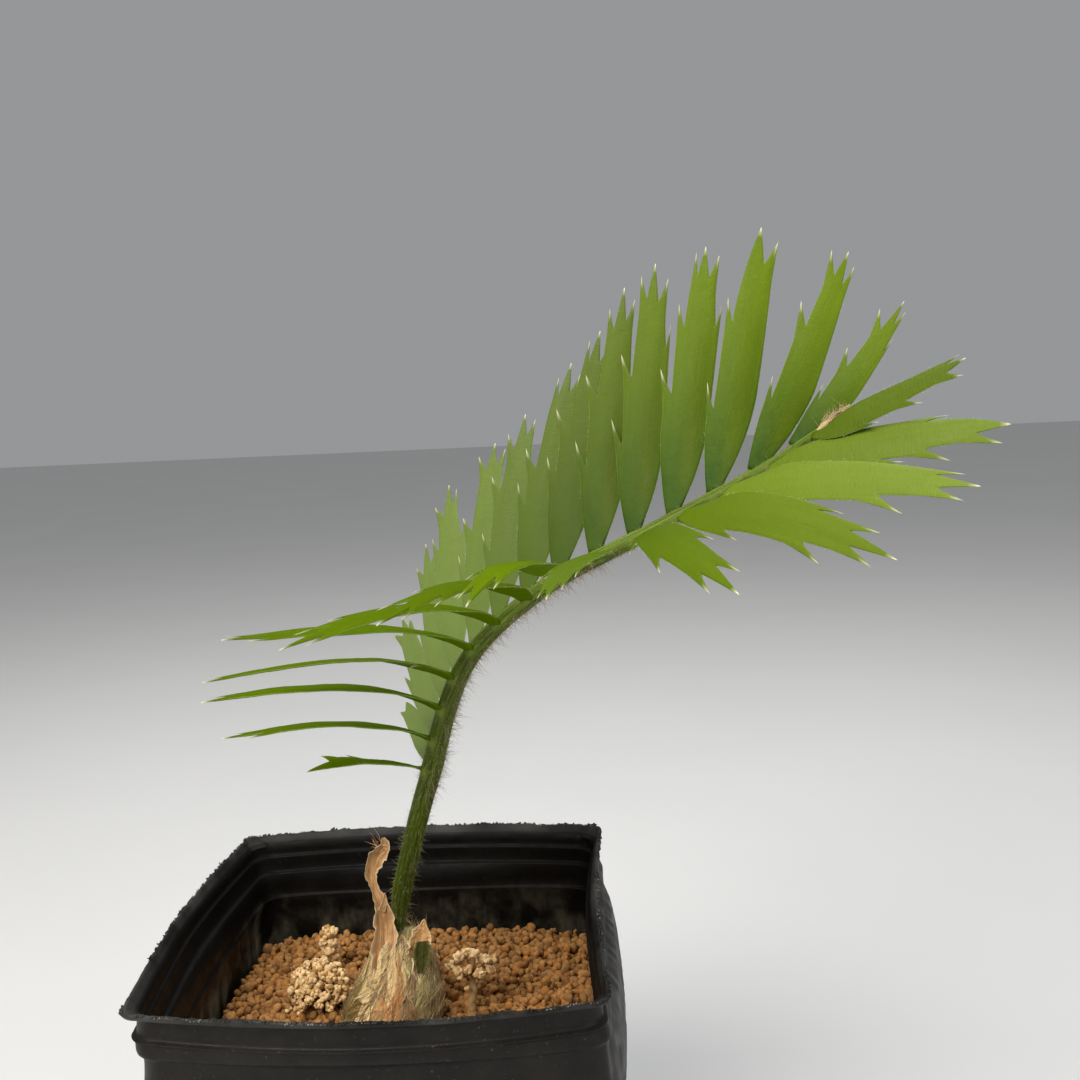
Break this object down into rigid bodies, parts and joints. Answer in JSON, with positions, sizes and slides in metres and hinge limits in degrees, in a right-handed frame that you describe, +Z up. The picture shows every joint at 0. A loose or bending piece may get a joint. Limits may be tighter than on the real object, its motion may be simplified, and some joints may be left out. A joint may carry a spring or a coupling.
{
  "type": "potted cycad seedling",
  "caption": "Young cycad in a square soft-plastic nursery pot: one arching pinnate frond of spine-tipped leaflets on a small scaly caudex, with coral-like roots on granular soil.",
  "frame": {"origin": "centre of the pot's flat underside", "axes": "+Z up; +X towards the side that the frond arches to; -Y towards the side that the frond leans to, which is the side the picture was taken from"},
  "size_m": [0.1554, 0.1519, 0.2272],
  "materials": {
    "pot_plastic": "satin, dusty",
    "soil_granules": "loose baked-clay granules",
    "dry_scales": "fibrous, papery",
    "coral_roots": "matt, knobbly",
    "green_stem": "satin, hairy",
    "dry_tip": "withered, papery",
    "leaflet": "leathery, slightly glaucous"
  },
  "bodies": {
    "root": {"pot": "pot_plastic", "soil": "soil_granules", "caudex": "dry_scales", "dry_leaf_base": "dry_scales", "leaf_base_stub": "dry_scales", "coral_root_large": "coral_roots", "coral_root_small": "coral_roots", "coral_root_right": "coral_roots", "coral_root_stalk": "coral_roots", "petiole": "green_stem", "rachis_lower": "green_stem", "rachis_upper": "green_stem", "rachis_tip": "dry_tip", "leaflet_near_01": "leaflet", "leaflet_near_02": "leaflet", "leaflet_near_03": "leaflet", "leaflet_near_04": "leaflet", "leaflet_near_05": "leaflet", "leaflet_near_06": "leaflet", "leaflet_near_07": "leaflet", "leaflet_near_08": "leaflet", "leaflet_near_09": "leaflet", "leaflet_near_10": "leaflet", "leaflet_near_11": "leaflet", "leaflet_near_12": "leaflet", "leaflet_near_13": "leaflet", "leaflet_near_14": "leaflet", "leaflet_far_01": "leaflet", "leaflet_far_02": "leaflet", "leaflet_far_03": "leaflet", "leaflet_far_04": "leaflet", "leaflet_far_05": "leaflet", "leaflet_far_06": "leaflet", "leaflet_far_07": "leaflet", "leaflet_far_08": "leaflet", "leaflet_far_09": "leaflet", "leaflet_far_10": "leaflet", "leaflet_far_11": "leaflet", "leaflet_far_12": "leaflet", "leaflet_far_13": "leaflet", "leaflet_far_14": "leaflet"}
  },
  "joints": []
}
